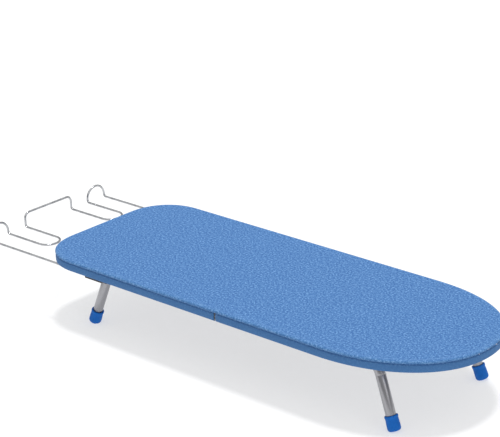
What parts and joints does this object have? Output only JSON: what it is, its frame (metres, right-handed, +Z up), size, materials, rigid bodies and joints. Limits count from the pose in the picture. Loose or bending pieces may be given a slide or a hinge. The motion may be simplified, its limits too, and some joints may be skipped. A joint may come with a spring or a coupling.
{
  "type": "ironing board",
  "caption": "Folding tabletop ironing board with a padded blue cover, bent tube legs that turn in, a sliding wire iron rest and a storage hook.",
  "frame": {"origin": "on the floor, under the middle of the whole length with the iron rest pulled out", "axes": "+X along the board towards the round nose, +Z up, +Y towards the rear long edge"},
  "size_m": [0.9506, 0.305, 0.1272],
  "materials": {
    "cover_cloth": "woven, light blue",
    "felt": "pressed felt",
    "frame_steel": "satin silver",
    "mesh_steel": "satin grey",
    "strip_steel": "satin grey",
    "bar_steel": "satin pale grey",
    "clamp_steel": "bright zinc",
    "link_steel": "zinc plated",
    "tube_steel": "satin silver",
    "rivet_steel": "bright",
    "screw_steel": "blackened",
    "liner_rubber": "matte black",
    "black_plastic": "matte black",
    "white_plastic": "smooth white",
    "cap_plastic": "smooth blue",
    "wire_chrome": "bright"
  },
  "bodies": {
    "square_half": {"square_mesh": "mesh_steel", "square_rim": "frame_steel", "square_fold_strip": "strip_steel", "square_strip_rivets": "rivet_steel", "square_crossbars": "bar_steel", "square_saddle_clamps": "clamp_steel", "square_clamp_liners": "liner_rubber", "square_clamp_screws": "screw_steel", "square_pad": "felt", "square_cover": "cover_cloth", "rest_guides": "black_plastic", "hook_block": "white_plastic"},
    "nose_half": {"nose_mesh": "mesh_steel", "nose_rim": "frame_steel", "nose_fold_strip": "strip_steel", "nose_strip_rivets": "rivet_steel", "nose_crossbars": "bar_steel", "nose_saddle_clamps": "clamp_steel", "nose_clamp_liners": "liner_rubber", "nose_clamp_screws": "screw_steel", "nose_pad": "felt", "nose_cover": "cover_cloth"},
    "leg_front_square": {"front_square_leg_tube": "tube_steel", "front_square_foot_cap": "cap_plastic", "front_tube_rivet": "rivet_steel"},
    "leg_rear_square": {"rear_square_leg_tube": "tube_steel", "rear_square_foot_cap": "cap_plastic", "rear_tube_rivet": "rivet_steel"},
    "leg_front_nose": {"front_nose_leg_tube": "tube_steel", "front_nose_foot_cap": "cap_plastic"},
    "leg_rear_nose": {"rear_nose_leg_tube": "tube_steel", "rear_nose_foot_cap": "cap_plastic"},
    "link_front": {"front_link_plate": "link_steel", "front_link_rivet": "rivet_steel"},
    "link_rear": {"rear_link_plate": "link_steel", "rear_link_rivet": "rivet_steel"},
    "iron_rest": {"iron_rest_wire": "wire_chrome", "rest_stop_caps": "black_plastic"},
    "hook": {"hook_wire": "wire_chrome", "hook_tip": "black_plastic"}
  },
  "joints": [
    {"name": "board_fold", "type": "hinge", "parent": "square_half", "child": "nose_half", "pos_m": [0.06875, 0, 0.12255], "axis": [0, -1, 0], "range_deg": [0, 180]},
    {"name": "front_legs_fold", "type": "hinge", "parent": "square_half", "child": "leg_front_square", "pos_m": [0.06875, -0.1035, 0.10225], "axis": [1, 0, 0], "range_deg": [0, 94]},
    {"name": "rear_legs_fold", "type": "hinge", "parent": "square_half", "child": "leg_rear_square", "pos_m": [0.06875, 0.1035, 0.10225], "axis": [-1, 0, 0], "range_deg": [0, 94]},
    {"name": "front_nose_leg_fold", "type": "hinge", "parent": "nose_half", "child": "leg_front_nose", "pos_m": [0.06875, -0.1035, 0.10225], "axis": [1, 0, 0], "range_deg": [0, 94]},
    {"name": "rear_nose_leg_fold", "type": "hinge", "parent": "nose_half", "child": "leg_rear_nose", "pos_m": [0.06875, 0.1035, 0.10225], "axis": [-1, 0, 0], "range_deg": [0, 94]},
    {"name": "front_link_turn", "type": "hinge", "parent": "leg_front_square", "child": "link_front", "pos_m": [0.04845, -0.1035, 0.10225], "axis": [0, 0.0698, 0.9976], "range_deg": [0, 90]},
    {"name": "rear_link_turn", "type": "hinge", "parent": "leg_rear_square", "child": "link_rear", "pos_m": [0.04845, 0.1035, 0.10225], "axis": [0, 0.0698, -0.9976], "range_deg": [0, 90]},
    {"name": "iron_rest_slide", "type": "slide", "parent": "square_half", "child": "iron_rest", "axis": [1, 0, 0], "range_m": [0, 0.132]},
    {"name": "hook_swing", "type": "hinge", "parent": "square_half", "child": "hook", "pos_m": [-0.30675, 0, 0.11495], "axis": [0, 1, 0], "range_deg": [0, 140]}
  ],
  "couplings": [
    {"joint": "front_nose_leg_fold", "follows": "front_legs_fold", "ratio": 1},
    {"joint": "rear_nose_leg_fold", "follows": "rear_legs_fold", "ratio": 1},
    {"joint": "front_link_turn", "follows": "board_fold", "ratio": 0.5},
    {"joint": "rear_link_turn", "follows": "board_fold", "ratio": 0.5}
  ]
}
